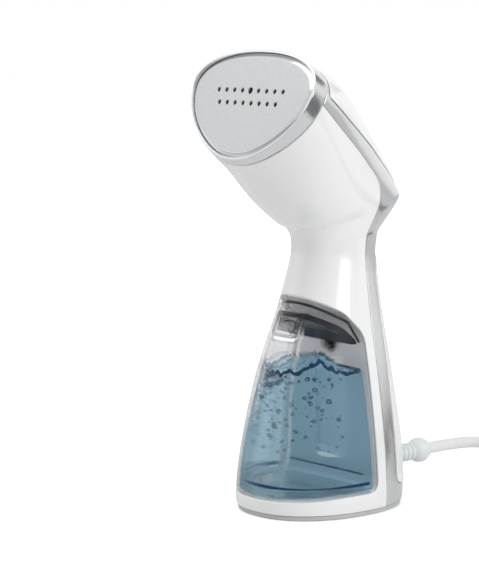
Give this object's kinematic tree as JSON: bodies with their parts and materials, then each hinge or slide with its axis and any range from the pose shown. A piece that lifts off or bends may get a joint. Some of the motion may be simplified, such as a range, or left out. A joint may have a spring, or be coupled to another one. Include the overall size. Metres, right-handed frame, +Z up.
{
  "type": "handheld garment steamer",
  "caption": "Upright handheld garment steamer with a clear front water tank, waisted neck, wide forward-leaning steam head and swivelling mains cord.",
  "frame": {"origin": "on the floor at the middle of the foot, on the plane of symmetry", "axes": "+Z up, -Y out of the steam side, +X across the face"},
  "size_m": [0.1516, 0.3065, 0.2739],
  "materials": {
    "white_shell": "gloss",
    "silver_shell": "satin",
    "grey_plate": "matte",
    "rubber": "matte",
    "screw_steel": "satin",
    "liner": "matte",
    "face_metal": "brushed",
    "baffle_steel": "satin",
    "boiler_alloy": "cast",
    "element": "matte",
    "thermostat": "matte",
    "fuse": "matte",
    "brass": "satin",
    "copper": "gloss",
    "pump_body": "matte",
    "plunger": "satin",
    "spring_steel": "satin",
    "silicone": "satin",
    "board": "matte",
    "black_part": "matte",
    "capacitor": "gloss",
    "wire": "satin",
    "lens": "gloss",
    "button": "satin",
    "clear_tank": "clear",
    "dark_lid": "satin",
    "filter": "matte",
    "swivel": "satin",
    "clamp": "matte",
    "cord": "satin",
    "tie": "matte",
    "plug_metal": "satin"
  },
  "bodies": {
    "housing": {"front_shell": "white_shell", "rear_frame": "silver_shell", "head_collar": "silver_shell", "upper_back_cover": "white_shell", "lower_back_cover": "white_shell", "base_plate": "grey_plate", "rubber_feet": "rubber", "base_screws": "screw_steel", "bay_liner": "liner", "face_plate": "face_metal", "face_gasket": "rubber", "steam_baffle": "baffle_steel", "boiler_body": "boiler_alloy", "heating_element": "element", "thermostat": "thermostat", "thermal_fuse": "fuse", "heat_shield": "baffle_steel", "boiler_screws": "screw_steel", "boiler_inlet": "brass", "pump_coil": "copper", "pump_bracket": "screw_steel", "pump_tube": "pump_body", "pump_spring": "spring_steel", "dock_socket": "rubber", "inlet_hose": "silicone", "outlet_hose": "silicone", "control_board": "board", "board_relay": "black_part", "board_capacitor": "capacitor", "wire_loom": "wire", "switch_carrier": "liner", "steam_switch": "black_part", "power_switch": "black_part", "indicator_lens": "lens", "button_spring": "spring_steel", "cord_bush": "liner", "cord_clamp": "clamp", "clamp_screws": "screw_steel", "power_cord": "cord", "cord_coil": "cord", "cord_tail": "cord", "cord_tie": "tie", "plug_body": "cord", "plug_blades": "plug_metal"},
    "tank": {"water_tank": "clear_tank", "tank_lid": "dark_lid", "tank_seal": "rubber", "spigot_ring": "rubber", "pickup_hose": "silicone", "pickup_filter": "filter", "flap_pin": "screw_steel"},
    "fill_flap": {"fill_flap": "clear_tank", "fill_plug": "rubber"},
    "steam_button": {"steam_button": "button"},
    "power_button": {"power_button": "button"},
    "cord_swivel": {"cord_swivel": "swivel"},
    "pump_plunger": {"pump_plunger": "plunger"}
  },
  "joints": [
    {"name": "tank_slide", "type": "slide", "parent": "housing", "child": "tank", "axis": [0, -1, 0], "range_m": [0, 0.12]},
    {"name": "fill_flap_hinge", "type": "hinge", "parent": "tank", "child": "fill_flap", "pos_m": [0, -0.0269, 0.1053], "axis": [1, 0, 0], "range_deg": [0, 95]},
    {"name": "steam_button_press", "type": "slide", "parent": "housing", "child": "steam_button", "axis": [0, -0.6618, -0.7496], "range_m": [0, 0.0025], "stiffness_N_per_m": 400, "deforming": ["button_spring"]},
    {"name": "power_button_press", "type": "slide", "parent": "housing", "child": "power_button", "axis": [0, -0.6618, -0.7496], "range_m": [0, 0.0012], "stiffness_N_per_m": 500},
    {"name": "cord_swivel_turn", "type": "hinge", "parent": "housing", "child": "cord_swivel", "pos_m": [0, 0.06, 0.0215], "axis": [0, 1, 0], "continuous": true},
    {"name": "pump_stroke", "type": "slide", "parent": "housing", "child": "pump_plunger", "axis": [0, 0, 1], "range_m": [0, 0.003], "stiffness_N_per_m": 200, "deforming": ["pump_spring"]}
  ]
}
